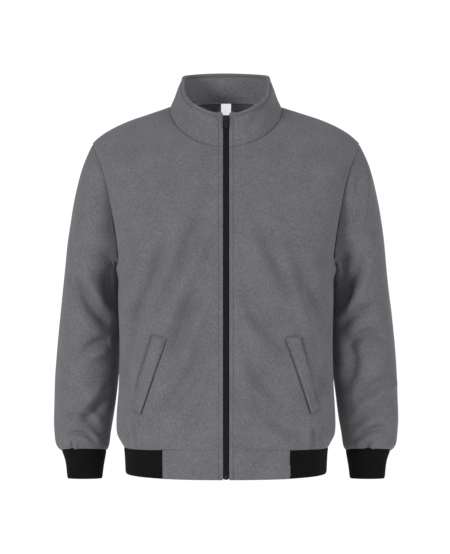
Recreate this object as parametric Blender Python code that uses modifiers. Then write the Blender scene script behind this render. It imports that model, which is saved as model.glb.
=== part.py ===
"""Fleece zip jacket, filled out as it is when worn, with nobody in it.

Metres, +Z up, the front faces -Y and the wearer's left is +X.  The origin is the middle of
the neck opening, level with the neck ends of the shoulder seams.

The body is one smooth skin.  A point on it has a turn (0 centre front, 1 the wearer's left
side, 2 centre back, 3 the right side) and a level (a row of BODY_ROWS, or a place between
two rows).  Each panel is a wall of cloth between that skin and the same skin moved inwards.
"""
import math
from collections import namedtuple

import bmesh
import bpy
import numpy as np
from mathutils import Vector
from mathutils.bvhtree import BVHTree

MM = 0.001
CLOTH = 2.0 * MM          # fleece, after brushing
COLLAR_CLOTH = 1.8 * MM   # each layer of the collar
RIB = 2.4 * MM            # hem and cuff rib, folded double and pressed
TAPE = 1.0 * MM           # zip tape
SEAM = 0.3 * MM           # the gap that two pieces keep at a seam

# ---------------------------------------------------------------- sizes in millimetres

Ring = namedtuple("Ring", "half_width side_z front_z back_z front_y side_y back_y square dip")
BODY_ROWS = [
    Ring(188, -683, -684, -683, -129, -12, 106, 2.5, 2.0),   # 0 bottom edge of the hem
    Ring(191, -636, -630, -636, -131, -12, 110, 2.5, 2.0),   # 1 seam of the hem band
    Ring(203, -615, -611, -615, -134, -13, 116, 2.5, 2.0),   # 2 blouse over the hem band
    Ring(204.5, -586, -584, -586, -136, -14, 118, 2.4, 2.0),  # 3 hip
    Ring(200, -515, -515, -515, -136, -15, 113, 2.4, 2.0),   # 4 waist
    Ring(199, -430, -430, -430, -137, -15, 112, 2.4, 2.0),   # 5 ribs
    Ring(201.5, -345, -348, -345, -139, -12, 118, 2.4, 2.0),  # 6 below the armhole
    Ring(202, -297, -302, -297, -139, -6, 122, 2.4, 2.0),    # 7 bottom of the armhole
    Ring(226, -196, -234, -216, -131, 0, 126, 2.4, 2.0),     # 8 chest
    Ring(242, -122, -187, -166, -121, 3, 122, 2.3, 2.0),     # 9 shoulder blades
    Ring(251, -67, -152, -116, -111, 4, 114, 2.2, 1.9),       # 10 point of the shoulder
    Ring(214, -39.5, -126, -67, -104, 4, 103, 2.15, 1.6),      # 11 middle of the shoulder
    Ring(167, -17.5, -104, -23, -96, 2, 88, 2.1, 1.35),         # 12 near the neck
    Ring(106, 0, -82, 14, -88, 0, 70, 2.1, 1.1),             # 13 neck seam
]
HEM, HEM_SEAM, UNDERARM, SHOULDER, NECK = 0, 1, 7, 10, 13
COLLAR_TOP = Ring(81, 57, -22.5, 69.5, -83, 0, 62, 3.2, 1.0)
COLLAR_FLARE = 0.7        # how much more the collar leans in at its foot and top than between
SHOULDER_SEAM_TURN = 0.075  # how far forward of the ridge the shoulder seam meets the neck

ARMHOLE_FRONT_TURN = 0.30   # how far the armhole reaches forward of the side
ARMHOLE_BACK_TURN = 0.40    # and behind it

SleeveRow = namedtuple("SleeveRow", "z inner_x outer_x front_y back_y square tilt", defaults=[0])
SLEEVE_ROWS = [
    SleeveRow(-345, 197, 310.5, -30, 118, 2.2),    # biceps
    SleeveRow(-400, 197, 316.5, -30, 112, 2.2),
    SleeveRow(-458, 199, 321.5, -28, 107, 2.2),    # elbow
    SleeveRow(-510, 203, 325, -25, 101, 2.2),
    SleeveRow(-557, 209, 327, -22, 94, 2.2),
    SleeveRow(-590, 214, 327.5, -19, 86, 2.2, 1),
    SleeveRow(-620, 219, 325, -15, 77, 2.1, 3),     # blouse over the cuff
    SleeveRow(-637, 220, 322.5, -12, 71, 2.1, 6),
    SleeveRow(-647, 225.5, 314, -9, 65, 2.0, 7),  # cuff seam, higher in front
]
CUFF_ROWS = [
    SleeveRow(-647.3, 225.5, 312, -9, 65, 2.0, 7),
    SleeveRow(-665, 229, 304.5, -6, 62, 2.0, 5),
    SleeveRow(-684, 232, 302.5, -4, 60, 2.0, 3),
    SleeveRow(-700, 233.6, 301, -3, 59, 2.0, 2),
]

FRONT_EDGE = 5.85         # half the gap between the fronts, where the zip shows
HEM_FRONT_END = 108.5     # where the front hem pieces meet the rib
TAPE_INNER, TAPE_OUTER = 3.6, 15.5
CHAIN_HALF = 3.3
FRONT_COLUMNS, BACK_COLUMNS = 9, 15

# A fold runs from a start to an end, seen from the front; deep is its trough.
Fold = namedtuple("Fold", "start_x start_z end_x end_z deep half_width")
BODY_FRONT_FOLDS = [
    Fold(-84, -252, -184, -430, 4.5, 14),
    Fold(-58, -285, -96, -420, 3.5, 13),
    Fold(88, -252, 184, -440, 4.5, 14),
    Fold(56, -330, 96, -455, 3.5, 13),
]
SLEEVE_FOLDS = [
    Fold(-290, -300, -214, -425, 7.0, 15),
    Fold(-262, -520, -214, -480, 4.0, 12),
    Fold(284, -290, 214, -365, 6.0, 14),
    Fold(296, -440, 222, -470, 5.0, 14),
]

# corners of a pocket welt on the wearer's left: x, z
WELT_CORNERS = {"upper_in": (109, -430), "upper_out": (133, -426),
                "lower_in": (155, -567), "lower_out": (171, -558)}
WELT = 1.6 * MM

SLIDER_HEIGHT = 0.85      # where the slider sits, as a share of the collar's height
SLIDER_SIZE = (10.8, 4.6, 14.5)
SLIDER_BACK = 1.8         # how far the slider reaches behind the cloth's face
SLIDER_FOOT = 0.8         # its foot's width as a share of its head's
BRIDGE_WIDE, BRIDGE_HALF, BRIDGE_PROUD, BRIDGE_WALL = 2.4, 3.6, 3.8, 1.2
PULL_WIDE, PULL_THICK, PULL_LONG, PULL_BAR = 5.6, 1.4, 16.0, 1.4
PULL_WINDOW = (3.4, 5.1)  # width, and length below the bar
BOX_SIZE = (6.8, 2.6, 6.5)
LABEL_SIZE = (19.0, 0.6, 28.0)

# ---------------------------------------------------------------- the scene


def clear_scene():
    """Removes what is in the scene."""
    for thing in list(bpy.data.objects):
        bpy.data.objects.remove(thing, do_unlink=True)


def new_collection(name):
    """A collection in the scene."""
    group = bpy.data.collections.new(name)
    bpy.context.scene.collection.children.link(group)
    return group


clear_scene()
JACKET = new_collection("fleece_zip_jacket")
CUTTERS = new_collection("cutters")


def finish(thing, colour, roughness, metallic=0.0):
    """Gives an object its own material."""
    material = bpy.data.materials.new(thing.name)
    material.use_nodes = True
    shader = material.node_tree.nodes["Principled BSDF"]
    shader.inputs["Base Color"].default_value = (*colour, 1.0)
    shader.inputs["Roughness"].default_value = roughness
    shader.inputs["Metallic"].default_value = metallic
    thing.data.materials.clear()
    thing.data.materials.append(material)


FLEECE = ((0.145, 0.145, 0.158), 0.95)
RIB_BLACK = ((0.008, 0.008, 0.009), 0.9)
ZIP_BLACK = ((0.012, 0.012, 0.013), 0.7)
SLIDER_BLACK = ((0.02, 0.02, 0.022), 0.35)
LABEL_WHITE = ((0.8, 0.8, 0.83), 0.7)

# ---------------------------------------------------------------- surfaces


def between(rows, place):
    """The columns of a table at a place between two of its rows, on a smooth curve."""
    last = len(rows) - 1
    low = min(max(int(math.floor(place)), 0), last - 1)
    t = place - low
    table = np.array(rows, float)
    before, after = table[max(low - 1, 0)], table[min(low + 2, last)]
    start, end = table[low], table[low + 1]
    leave = (end - before) / (2 if low else 1)
    arrive = (after - start) / (2 if low + 2 <= last else 1)
    return (start * (2 * t**3 - 3 * t**2 + 1) + leave * (t**3 - 2 * t**2 + t)
            + end * (3 * t**2 - 2 * t**3) + arrive * (t**3 - t**2))


def on_ring(ring, turn):
    """A point of a body ring."""
    across, along = math.sin(turn * math.pi / 2), math.cos(turn * math.pi / 2)
    reach = (abs(across) ** ring.square + abs(along) ** ring.square) ** (-1 / ring.square)
    end_y, end_z = (ring.front_y, ring.front_z) if along > 0 else (ring.back_y, ring.back_z)
    return MM * np.array([
        ring.half_width * reach * across,
        ring.side_y + (end_y - ring.side_y) * reach * abs(along),
        ring.side_z + (end_z - ring.side_z) * abs(along) ** ring.dip,
    ])


def plain_body(turn, level):
    """A point of the body's skin before its folds."""
    return on_ring(Ring(*between(BODY_ROWS, level)), turn)


def collar_skin(turn, height):
    """A point of the collar's outer face, from its foot, height 0, to its top edge, height 1."""
    foot = on_ring(BODY_ROWS[NECK], turn) + np.array([0, 0, SEAM])
    top = on_ring(COLLAR_TOP, turn)
    lean = height + COLLAR_FLARE * height * (1 - height) * (1 - 2 * height)
    point = foot + (top - foot) * lean
    point[2] = foot[2] + (top[2] - foot[2]) * height
    return point


def sleeve_ring(row, around):
    """A point of a sleeve ring: around is 0 outside, 0.5 front, 1 inside, 1.5 back."""
    out, front = math.cos(around * math.pi), math.sin(around * math.pi)
    reach = (abs(out) ** row.square + abs(front) ** row.square) ** (-1 / row.square)
    middle = (row.inner_x + row.outer_x) / 2, (row.front_y + row.back_y) / 2
    return MM * np.array([
        middle[0] + (row.outer_x - row.inner_x) / 2 * reach * out,
        middle[1] - (row.back_y - row.front_y) / 2 * reach * front,
        row.z + row.tilt * reach * front,
    ])


def armhole(around):
    """The turn and level of the armhole's edge on the wearer's left."""
    up = (1 + math.cos(around * math.pi)) / 2
    reach = ARMHOLE_FRONT_TURN if around <= 1 else ARMHOLE_BACK_TURN
    bow = math.sin(around * math.pi)
    turn = 1 - reach * math.copysign(abs(bow) ** 0.75, bow)
    return turn, UNDERARM + (SHOULDER - UNDERARM) * up


def normal_of(surface, u, v, v_low, v_high):
    """The outward direction of a surface at a point, from its slopes."""
    step = 1e-3
    along_u = surface(u + step, v) - surface(u - step, v)
    low, high = max(v - step, v_low), min(v + step, v_high)
    along_v = surface(u, high) - surface(u, low)
    out = np.cross(along_u, along_v)
    return out / np.linalg.norm(out)


def crease(point, folds):
    """How far folds move a point of the cloth outwards: a trough with a low ridge below it."""
    moved = 0.0
    for fold in folds:
        start = MM * np.array([fold.start_x, fold.start_z])
        run = MM * np.array([fold.end_x, fold.end_z]) - start
        offset = point[[0, 2]] - start
        along = float(offset @ run / (run @ run))
        if not 0 < along < 1:
            continue
        off = float(run[0] * offset[1] - run[1] * offset[0]) / np.linalg.norm(run)
        off /= MM * fold.half_width
        off *= math.copysign(1, fold.end_x)
        fade = math.sin(math.pi * along) ** 0.8
        shape = math.exp(-off**2) - 0.6 * math.exp(-((off - 1.9) ** 2))
        moved -= MM * fold.deep * fade * shape
    return moved


def body_skin(turn, level):
    """A point of the body's skin with its largest folds."""
    point = plain_body(turn, level)
    if level <= HEM_SEAM or level >= NECK or abs((turn + 1) % 4 - 1) > 0.93:
        return point
    out = normal_of(plain_body, turn, level, HEM, NECK)
    return point + out * crease(point, BODY_FRONT_FOLDS)


def body_normal(turn, level):
    """The outward direction of the body's skin."""
    return normal_of(plain_body, turn, level, HEM, NECK)


def collar_normal(turn, height):
    """The outward direction of the collar."""
    return normal_of(collar_skin, turn, height, 0, 1)


def cap_start(around):
    """Where the sleeve meets the armhole: the point, the body's normal and the way in."""
    turn, level = armhole(around)
    here = body_skin(turn, level)
    out = body_normal(turn, level)
    ahead = body_skin(*armhole(around + 1e-3)) - body_skin(*armhole(around - 1e-3))
    inwards = np.cross(out, ahead)
    inwards /= np.linalg.norm(inwards)
    middle = plain_body(1, (UNDERARM + SHOULDER) / 2)
    inwards *= math.copysign(1, float(inwards @ (middle - here)))
    return here + inwards * SEAM, out


def plain_sleeve(around, down):
    """A point of the left sleeve's skin: down is 0 at the armhole, 1 and on the rings."""
    if down >= 1:
        return sleeve_ring(SleeveRow(*between(SLEEVE_ROWS, down - 1)), around)
    start = cap_start(around)[0]
    end = sleeve_ring(SLEEVE_ROWS[0], around)
    high = (1 + math.cos(around * math.pi)) / 2
    fall = -0.12 - 0.75 * high
    leave = np.array([math.sqrt(1 - fall**2), -0.3 * math.sin(around * math.pi), fall])
    span = float(np.linalg.norm(end - start)) * 0.9
    leave *= span / np.linalg.norm(leave)
    arrive = sleeve_ring(SLEEVE_ROWS[1], around) - end
    arrive *= span / np.linalg.norm(arrive)
    t = down
    return (start * (2 * t**3 - 3 * t**2 + 1) + leave * (t**3 - 2 * t**2 + t)
            + end * (3 * t**2 - 2 * t**3) + arrive * (t**3 - t**2))


def sleeve_points(side, arounds, downs, depth):
    """Rows of points of a sleeve, depth behind its face, for side +1 (left) or -1 (right)."""
    mirror = np.array([side, 1, 1])
    rows = []
    for down in downs:
        row = []
        for around in arounds:
            if down == 0:
                point, out = cap_start(around)
                row.append((point - out * depth) * mirror)
                continue
            point = plain_sleeve(around, down)
            out = normal_of(plain_sleeve, around, down, 0, len(SLEEVE_ROWS))
            front = max(0.0, math.sin(around * math.pi)) ** 0.5
            fold = front * crease(point * mirror, SLEEVE_FOLDS)
            row.append((point + out * (fold - depth)) * mirror)
        rows.append(row)
    return rows


# ---------------------------------------------------------------- walls of cloth


def wall(name, outer, inner, look, closed=False):
    """A closed solid between two like grids of points; closed joins the last column to the first."""
    grid = np.array([outer, inner])
    rows, columns = grid.shape[1:3]
    mesh = bpy.data.meshes.new(name)
    solid = bmesh.new()
    corners = [[[solid.verts.new(p) for p in row] for row in layer] for layer in grid]
    steps = [(c, (c + 1) % columns) for c in range(columns if closed else columns - 1)]
    for layer in corners:
        for r in range(rows - 1):
            for c, d in steps:
                solid.faces.new((layer[r][c], layer[r][d], layer[r + 1][d], layer[r + 1][c]))
    face, back = corners
    for r in (0, rows - 1):
        for c, d in steps:
            solid.faces.new((face[r][c], face[r][d], back[r][d], back[r][c]))
    if not closed:
        for c in (0, columns - 1):
            for r in range(rows - 1):
                solid.faces.new((face[r][c], face[r + 1][c], back[r + 1][c], back[r][c]))
    bmesh.ops.recalc_face_normals(solid, faces=solid.faces[:])
    bmesh.ops.triangulate(solid, faces=solid.faces[:], quad_method="SHORT_EDGE")
    solid.to_mesh(mesh)
    solid.free()
    mesh.shade_smooth()
    mesh.set_sharp_from_angle(angle=math.radians(50))
    thing = bpy.data.objects.new(name, mesh)
    JACKET.objects.link(thing)
    finish(thing, *look)
    return thing


def body_grid(levels, start, stop, columns, depth, side=1):
    """Points of a panel: start and stop give the turns of its two edges at a level."""
    rows = []
    for level in levels:
        turns = np.linspace(start(level), stop(level), columns)
        row = []
        for turn in turns:
            turn = turn if side > 0 else 4 - turn
            row.append(body_skin(turn, level) - body_normal(turn, level) * depth)
        rows.append(row)
    return rows


def turn_at(half_width, x):
    """The turn, near centre front, at which a ring is x millimetres from the middle."""
    return math.asin(x / half_width) * 2 / math.pi


def width_at(level):
    """The half width of the body's ring at a level."""
    return between(BODY_ROWS, level)[0]


def seam_turn(turn, level):
    """Half a seam's gap there, as a turn."""
    step = 1e-3
    run = np.linalg.norm(plain_body(turn + step, level) - plain_body(turn - step, level))
    return SEAM / 2 * 2 * step / float(run)


LOWER = [1, 1.5, 2, 2.5, 3, 3.5, 4, 4.4, 4.8, 5.2, 5.6, 6, 6.5, 7]
ARMHOLE_STEPS = 10
ARMHOLE_LEVELS = [armhole(1 - k / ARMHOLE_STEPS)[1] for k in range(1, ARMHOLE_STEPS)]
UPPER = [10, 10.6, 11.2, 11.8, 12.4, 13]
LEVELS = LOWER + ARMHOLE_LEVELS + UPPER
COLLAR_HEIGHTS = [0, 0.3, 0.65, 1]


def shoulder_seam(level):
    """The turn of the shoulder seam at a level above the shoulder point."""
    return 1 - SHOULDER_SEAM_TURN * (level - SHOULDER) / (NECK - SHOULDER)


def outer_edge(level, behind):
    """The turn of a panel's outer edge: side seam, then armhole, then shoulder seam."""
    gap = 1 if behind else -1
    if level <= UNDERARM:
        return 1 + gap * seam_turn(1, level)
    if level >= SHOULDER:
        turn = shoulder_seam(level)
        return turn + gap * seam_turn(turn, level)
    up = (level - UNDERARM) / (SHOULDER - UNDERARM)
    around = math.acos(2 * up - 1) / math.pi
    turn = armhole(2 - around if behind else around)[0]
    least = seam_turn(1, level)
    return max(turn, 1 + least) if behind else min(turn, 1 - least)


def front_edge(level):
    """The turn of the front edge, beside the zip."""
    return turn_at(width_at(level), FRONT_EDGE)


def hem_seam_level(gap):
    """A level just above or below the hem seam."""
    drop = abs(BODY_ROWS[HEM_SEAM].side_z - BODY_ROWS[HEM].side_z)
    rise = abs(BODY_ROWS[HEM_SEAM + 1].side_z - BODY_ROWS[HEM_SEAM].side_z)
    return HEM_SEAM + gap / MM / (rise if gap > 0 else drop)


LEVELS[0] = hem_seam_level(SEAM / 2)


def build_body():
    """The fronts, back and the bands of the hem."""
    for side, name in ((1, "left"), (-1, "right")):
        layers = [body_grid(LEVELS, front_edge, lambda v: outer_edge(v, False), FRONT_COLUMNS,
                            d, side)
                  for d in (0, CLOTH)]
        wall(f"front_{name}", *layers, FLEECE)
    layers = [body_grid(LEVELS, lambda v: outer_edge(v, True), lambda v: 4 - outer_edge(v, True),
                        BACK_COLUMNS, d) for d in (0, CLOTH)]
    wall("back", *layers, FLEECE)

    band = np.linspace(HEM, hem_seam_level(-SEAM / 2), 4)
    end = lambda v: turn_at(width_at(v), HEM_FRONT_END)
    for side, name in ((1, "left"), (-1, "right")):
        layers = [body_grid(band, front_edge, lambda v: end(v) - seam_turn(end(v), v), 6, d, side)
                  for d in (0, CLOTH)]
        wall(f"hem_front_{name}", *layers, FLEECE)
    layers = [body_grid(band, lambda v: end(v) + seam_turn(end(v), v),
                        lambda v: 4 - end(v) - seam_turn(end(v), v), 29, d) for d in (0, RIB)]
    wall("hem_rib", *layers, RIB_BLACK)


def build_sleeves():
    """The sleeves and cuffs, which are tubes."""
    arounds = np.linspace(0, 2, 2 * ARMHOLE_STEPS, endpoint=False)
    downs = [0, 0.15, 0.32, 0.55, 0.8, 1.1, 1.7, 2.3, 2.9, 3.5, 4.2, 5, 6, 6.8, 7.5, 8.2, 9]
    for side, name in ((1, "left"), (-1, "right")):
        layers = [sleeve_points(side, arounds, downs, d) for d in (0, CLOTH)]
        wall(f"sleeve_{name}", *layers, FLEECE, closed=True)
        layers = []
        for depth in (0, RIB):
            rows = []
            for row in CUFF_ROWS:
                inset = depth / MM
                thin = SleeveRow(row.z, row.inner_x + inset, row.outer_x - inset,
                                 row.front_y + inset, row.back_y - inset, row.square, row.tilt)
                rows.append([sleeve_ring(thin, a) * np.array([side, 1, 1]) for a in arounds])
            layers.append(rows)
        wall(f"cuff_{name}", *layers, RIB_BLACK, closed=True)


def collar_grid(heights, depth, short=0):
    """Points of a layer of the collar, over the panels' own columns, or some columns short."""
    front = np.linspace(front_edge(NECK), outer_edge(NECK, False), FRONT_COLUMNS)[:-1]
    seam = outer_edge(NECK, True)
    back = np.linspace(seam, 4 - seam, BACK_COLUMNS)
    rows = []
    for height in heights:
        width = BODY_ROWS[NECK].half_width * (1 - height) + COLLAR_TOP.half_width * height
        shift = turn_at(width, FRONT_EDGE) - front[0]
        moved = front + shift * (1 - front)
        turns = np.concatenate([moved, back, 4 - moved[::-1]])
        turns = turns[short:len(turns) - short]
        rows.append([collar_skin(turn, height) - collar_normal(turn, height) * depth
                     for turn in turns])
    return rows


def build_collar():
    """The two layers of the stand collar."""
    inside = COLLAR_CLOTH + SEAM
    wall("collar", *(collar_grid(COLLAR_HEIGHTS, d) for d in (0, COLLAR_CLOTH)), FLEECE)
    layers = [collar_grid(COLLAR_HEIGHTS, inside + d, 1) for d in (0, COLLAR_CLOTH)]
    wall("collar_facing", *layers, FLEECE)


# ---------------------------------------------------------------- what lies on the panels


def front_at(x, z):
    """The turn and level of the front at a place seen from the front, in millimetres."""
    turn, level = x / 230, 5.0
    for _ in range(40):
        point = plain_body(turn, level) / MM
        ahead = plain_body(turn, level + 1e-3) / MM
        level += (z - point[2]) / ((ahead[2] - point[2]) / 1e-3)
        turn += (x - point[0]) / 260
    return turn, level


def build_welts():
    """The pocket welts, which lie on the faces of the front panels."""
    corner = {key: np.array(place, float) for key, place in WELT_CORNERS.items()}
    for side, name in ((1, "left"), (-1, "right")):
        panel = JACKET.objects[f"front_{name}"].data
        faces = [tuple(face.vertices) for face in panel.polygons]
        cloth = BVHTree.FromPolygons([v.co for v in panel.vertices], faces)
        layers = [[], []]
        for down in np.linspace(0, 1, 12):
            inner = corner["upper_in"] * (1 - down) + corner["lower_in"] * down
            outer = corner["upper_out"] * (1 - down) + corner["lower_out"] * down
            rows = [[], []]
            for over in np.linspace(0, 1, 4):
                x, z = inner * (1 - over) + outer * over
                turn, level = front_at(x, z)
                out = body_normal(side * turn, level)
                above = plain_body(side * turn, level) + out * 30 * MM
                face = np.array(cloth.ray_cast(Vector(above), Vector(-out))[0])
                for row, lift in zip(rows, (3 * SEAM + WELT, 3 * SEAM)):
                    row.append(face + out * lift)
            for layer, row in zip(layers, rows):
                layer.append(row)
        wall(f"pocket_welt_{name}", *layers, FLEECE)


def zip_skin(turn, place):
    """The body's skin up to the neck seam, and the collar's from there on, one level higher."""
    if place > NECK:
        return collar_skin(turn, place - NECK)
    return body_skin(turn, place)


def zip_grid(start, stop, bottom, top, depth):
    """Points of a strip along centre front, between two x places, up the body and the collar."""
    rows = []
    for place in [bottom] + [p for p in ZIP_PLACES if bottom < p < top - 0.05] + [top]:
        if place > NECK:
            width = between([BODY_ROWS[NECK], COLLAR_TOP], place - NECK)[0]
        else:
            width = width_at(place)
        row = []
        for turn in (turn_at(width, start), turn_at(width, stop)):
            out = normal_of(zip_skin, turn, place, HEM, NECK + 1)
            row.append(zip_skin(turn, place) - out * depth)
        rows.append(row)
    return rows


ZIP_PLACES = [0.5] + LEVELS[:-1] + [NECK] + [NECK + h for h in COLLAR_HEIGHTS[1:-1]]


def slider_frame():
    """The slider's place on the collar, and the tilt of the collar there."""
    place = collar_skin(0, SLIDER_HEIGHT)
    up = collar_skin(0, 1) - collar_skin(0, 0.7)
    return place, math.atan2(-up[1], up[2])


def build_zip():
    """The tapes, chain, retainer box, slider and pull tab."""
    behind = CLOTH + 2 * SEAM
    for side, name in ((1, "left"), (-1, "right")):
        edges = side * TAPE_INNER, side * TAPE_OUTER
        layers = [zip_grid(*edges, 0.03, NECK + 0.985, behind + d) for d in (0, TAPE)]
        wall(f"zip_tape_{name}", *layers, ZIP_BLACK)
    box_long = BOX_SIZE[2] * MM
    hem_drop = abs(BODY_ROWS[HEM_SEAM].front_z - BODY_ROWS[HEM].front_z) * MM
    chain_foot = (box_long + 0.6 * MM + SEAM) / hem_drop
    collar_rise = (COLLAR_TOP.front_z - BODY_ROWS[NECK].front_z) * MM
    chain_top = SLIDER_HEIGHT - (SLIDER_SIZE[2] / 2 * MM + SEAM) / collar_rise
    layers = [zip_grid(-CHAIN_HALF, CHAIN_HALF, chain_foot, NECK + chain_top, d * MM)
              for d in (0.4, 2.0)]
    wall("zip_chain", *layers, ZIP_BLACK)

    foot = plain_body(0, 0.6 * MM / hem_drop)
    box = block("zip_box", BOX_SIZE, JACKET, 0.6)
    box.location = foot + np.array([0, 0.7 * MM + BOX_SIZE[1] / 2 * MM - 0.6 * MM, box_long / 2])
    finish(box, *ZIP_BLACK)
    build_slider()


def block(name, size, group, bevel=0.0):
    """A box of a size in millimetres, with rounded edges, centred on its origin."""
    bpy.ops.mesh.primitive_cube_add(size=1)
    thing = bpy.context.object
    thing.name = thing.data.name = name
    for corner in thing.data.vertices:
        corner.co = [c * s * MM for c, s in zip(corner.co, size)]
    for other in list(thing.users_collection):
        other.objects.unlink(thing)
    group.objects.link(thing)
    if bevel:
        rounding = thing.modifiers.new("rounding", "BEVEL")
        rounding.width = bevel * MM
        rounding.segments = 2
    if group is CUTTERS:
        thing.hide_render = True
        thing.display_type = "WIRE"
    return thing


def join_or_cut(thing, tool, operation):
    """Adds a Boolean of a tool to a thing."""
    cut = thing.modifiers.new(tool.name, "BOOLEAN")
    cut.operation = operation
    cut.object = tool


def build_slider():
    """The slider with its bridge, and the pull tab that hangs on the bridge."""
    place, tilt = slider_frame()
    wide, thick, tall = SLIDER_SIZE
    slider = block("zip_slider", SLIDER_SIZE, JACKET)
    for corner in slider.data.vertices:
        corner.co.x *= 1 if corner.co.z > 0 else SLIDER_FOOT
        corner.co.y += (SLIDER_BACK - thick / 2) * MM
    rounding = slider.modifiers.new("rounding", "BEVEL")
    rounding.width = 0.8 * MM
    rounding.segments = 2
    slider.location = place
    slider.rotation_euler.x = tilt
    face = SLIDER_BACK - thick

    fin_deep = BRIDGE_PROUD + 1.0
    fin = block("bridge", (BRIDGE_WIDE, fin_deep, 2 * BRIDGE_HALF), CUTTERS, 0.5)
    fin.parent = slider
    fin.location = (0, (face - BRIDGE_PROUD + fin_deep / 2) * MM, 0)
    slot_deep = BRIDGE_PROUD - BRIDGE_WALL
    slot_tall = 2 * (BRIDGE_HALF - BRIDGE_WALL)
    slot = block("bridge_slot", (6, slot_deep, slot_tall), CUTTERS)
    slot.parent = slider
    slot.location = (0, (face - slot_deep / 2) * MM, 0)
    join_or_cut(slider, fin, "UNION")
    join_or_cut(slider, slot, "DIFFERENCE")
    finish(slider, *SLIDER_BLACK)

    axis_y = (face - slot_deep / 2) * MM
    axis_z = (-slot_tall / 2 + PULL_BAR * 0.93) * MM
    build_pull(slider, place, tilt, axis_y, axis_z)


def build_pull(slider, place, tilt, axis_y, axis_z):
    """The pull tab: a plate with a window, whose upper bar passes under the bridge."""
    plate = block("zip_pull", (PULL_WIDE, PULL_THICK, PULL_LONG), JACKET)
    middle = (PULL_BAR / 2 - PULL_LONG / 2) * MM
    for corner in plate.data.vertices:
        corner.co.z += middle
        corner.co.x *= 1 if corner.co.z > middle else 0.86
    rounding = plate.modifiers.new("rounding", "BEVEL")
    rounding.width = 0.3 * MM
    rounding.segments = 2
    window = block("pull_window", (PULL_WINDOW[0], 6, PULL_WINDOW[1]), CUTTERS)
    window.parent = plate
    window.location = (0, 0, (-PULL_BAR / 2 - PULL_WINDOW[1] / 2) * MM)
    join_or_cut(plate, window, "DIFFERENCE")
    lean = math.cos(tilt), math.sin(tilt)
    plate.location = place + np.array([0, lean[0] * axis_y - lean[1] * axis_z,
                                       lean[1] * axis_y + lean[0] * axis_z])
    plate.rotation_euler.x = tilt
    finish(plate, *SLIDER_BLACK)


def build_label():
    """The blank label, sewn in the back neck seam and hanging inside."""
    label = block("neck_label", LABEL_SIZE, JACKET, 0.15)
    seam = on_ring(BODY_ROWS[NECK], 2)
    drop = LABEL_SIZE[2] / 2 + 0.9
    label.location = seam + MM * np.array([0, -3.8, -drop])
    finish(label, *LABEL_WHITE)


build_body()
build_sleeves()
build_collar()
build_welts()
build_zip()
build_label()
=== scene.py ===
"""A grey fleece zip jacket, filled out as it is when worn, with black rib cuffs and hem."""
import math
from collections import namedtuple

import bpy
import numpy as np
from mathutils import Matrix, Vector, noise
from mathutils.bvhtree import BVHTree
from mathutils.kdtree import KDTree


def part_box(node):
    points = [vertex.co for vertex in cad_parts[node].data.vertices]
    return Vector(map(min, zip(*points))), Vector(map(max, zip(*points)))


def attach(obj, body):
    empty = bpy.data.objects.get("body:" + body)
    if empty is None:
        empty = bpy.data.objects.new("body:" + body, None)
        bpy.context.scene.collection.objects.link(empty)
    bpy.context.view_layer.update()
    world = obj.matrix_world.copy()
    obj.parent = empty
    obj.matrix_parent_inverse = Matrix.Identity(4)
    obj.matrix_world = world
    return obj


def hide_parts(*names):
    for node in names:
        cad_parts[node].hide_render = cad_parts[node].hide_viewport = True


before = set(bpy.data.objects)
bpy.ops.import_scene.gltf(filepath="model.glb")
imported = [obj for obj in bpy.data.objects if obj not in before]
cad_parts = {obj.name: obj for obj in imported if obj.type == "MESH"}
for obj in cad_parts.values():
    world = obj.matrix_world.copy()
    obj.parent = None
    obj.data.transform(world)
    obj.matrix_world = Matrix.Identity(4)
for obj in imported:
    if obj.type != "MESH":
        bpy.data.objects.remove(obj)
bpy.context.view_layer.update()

MM = 0.001

# ------------------------------------------------------------------ the room
# A clothes studio: a pale floor under an even white room light, with one broad lamp to the
# left of the camera, a weaker one at the other side and one behind.  The jacket hangs at the
# height where its wearer would hold it.

bpy.context.scene.view_settings.view_transform = "Standard"

world = bpy.data.worlds.new("room_light")
world.use_nodes = True
tree = world.node_tree
backdrop = tree.nodes["Background"]
backdrop.inputs["Color"].default_value = (1, 1, 1, 1)
backdrop.inputs["Strength"].default_value = 1.05
room = tree.nodes.new("ShaderNodeBackground")
room.inputs["Color"].default_value = (0.97, 0.985, 1, 1)
room.inputs["Strength"].default_value = 0.45
seen = tree.nodes.new("ShaderNodeLightPath")
either = tree.nodes.new("ShaderNodeMixShader")
tree.links.new(seen.outputs["Is Camera Ray"], either.inputs[0])
tree.links.new(room.outputs[0], either.inputs[1])
tree.links.new(backdrop.outputs[0], either.inputs[2])
tree.links.new(either.outputs[0], tree.nodes["World Output"].inputs["Surface"])
bpy.context.scene.world = world


def add_piece(name, data):
    """A new object in the scene."""
    piece = bpy.data.objects.new(name, data)
    bpy.context.scene.collection.objects.link(piece)
    return piece


eye = bpy.data.cameras.new("eye")
eye.lens = 103.9
eye.sensor_width = 36
camera = add_piece("camera", eye)
camera.location = (-0.002, -3.0, -0.319)
camera.rotation_euler = (math.radians(90), 0, 0)
bpy.context.scene.camera = camera


def soft_lamp(name, place, aim, size, watts):
    """A square soft lamp that points at a place."""
    lamp = bpy.data.lights.new(name, "AREA")
    lamp.size = size
    lamp.energy = watts
    holder = add_piece(name, lamp)
    holder.location = place
    holder.rotation_euler = (Vector(aim) - Vector(place)).to_track_quat("-Z", "Y").to_euler()


soft_lamp("key_lamp", (-2.5, -2.6, 0.35), (0, 0, -0.33), 1.0, 74)
soft_lamp("fill_lamp", (2.5, -2.6, 0.0), (0, 0, -0.36), 1.2, 43)
soft_lamp("back_lamp", (1.6, 3.0, 0.5), (0, 0, -0.33), 1.4, 27)


def surface(name, settings):
    """A new material with some of its shader's inputs set, its node tree and its shader."""
    material = bpy.data.materials.new(name)
    material.use_nodes = True
    shader = material.node_tree.nodes["Principled BSDF"]
    for label, value in settings.items():
        shader.inputs[label].default_value = value
    return material, material.node_tree, shader


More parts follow.
